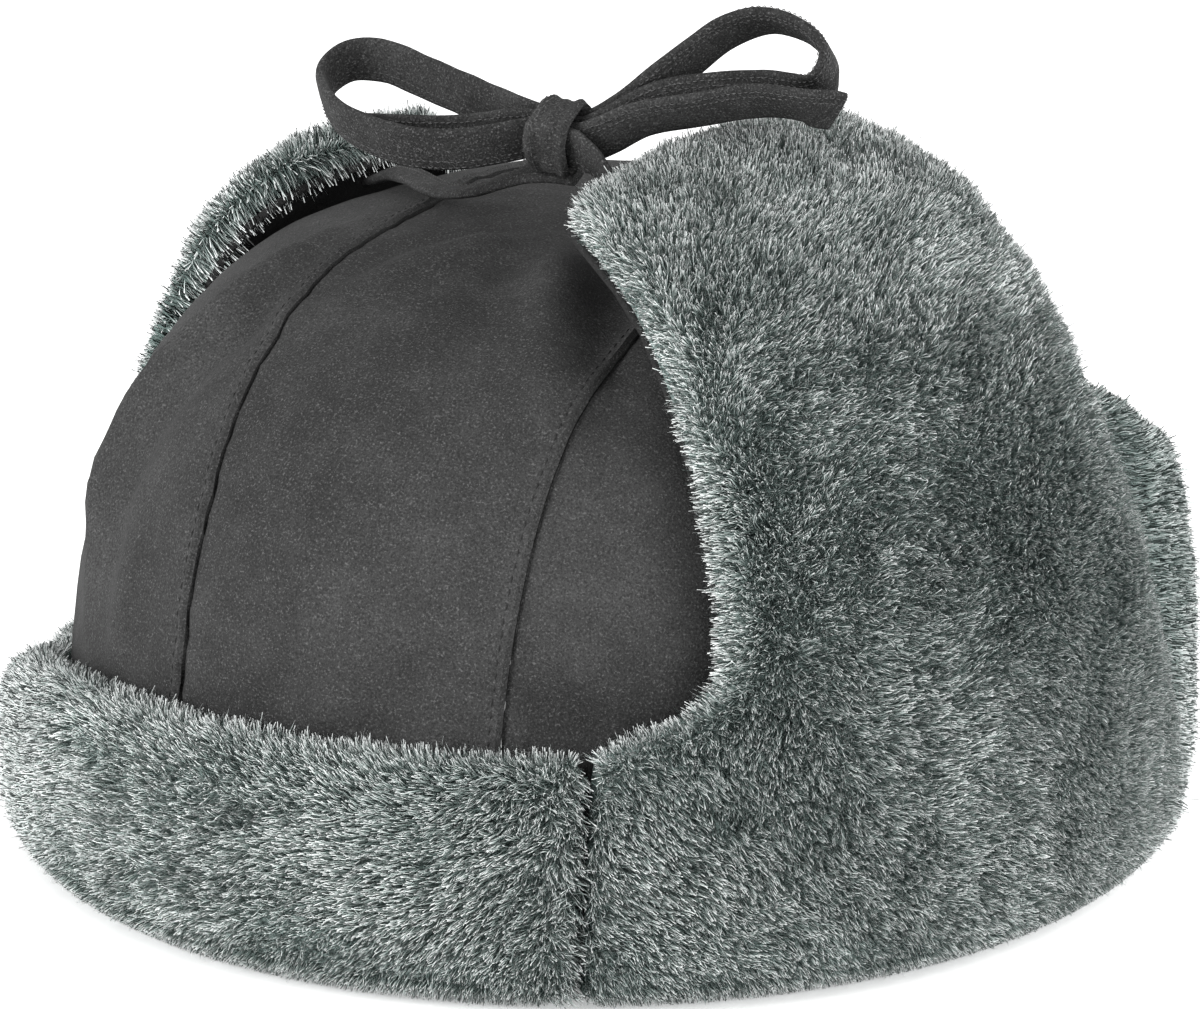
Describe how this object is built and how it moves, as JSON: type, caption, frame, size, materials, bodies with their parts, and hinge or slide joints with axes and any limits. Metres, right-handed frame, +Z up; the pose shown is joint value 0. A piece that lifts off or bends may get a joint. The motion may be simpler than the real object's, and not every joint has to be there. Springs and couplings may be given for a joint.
{
  "type": "aviator hat",
  "caption": "Grey cloth aviator hat with deep grey-green fur flaps folded up and tied over the crown in a bow.",
  "frame": {"origin": "on the surface that the hat rests on, below the middle of its bounding box", "axes": "+Z up, -Y the way the wearer looks, +X the wearer's left"},
  "size_m": [0.2098, 0.2458, 0.1558],
  "materials": {
    "shell_cloth": "matte",
    "flap_cloth": "matte",
    "fur": "matte",
    "strap": "matte"
  },
  "bodies": {
    "root": {"crown_centre_panel": "shell_cloth", "crown_left_panel": "shell_cloth", "crown_right_panel": "shell_cloth", "front_flap_cloth": "flap_cloth", "front_flap_fur": "fur", "left_ear_flap_cloth": "flap_cloth", "left_ear_flap_fur": "fur", "right_ear_flap_cloth": "flap_cloth", "right_ear_flap_fur": "fur", "neck_flap_cloth": "flap_cloth", "neck_flap_fur": "fur", "bow_knot": "strap", "bow_left_loop": "strap", "bow_right_loop": "strap", "bow_left_tail": "strap", "bow_right_tail": "strap", "left_tie_lead": "strap", "right_tie_lead": "strap"}
  },
  "joints": []
}
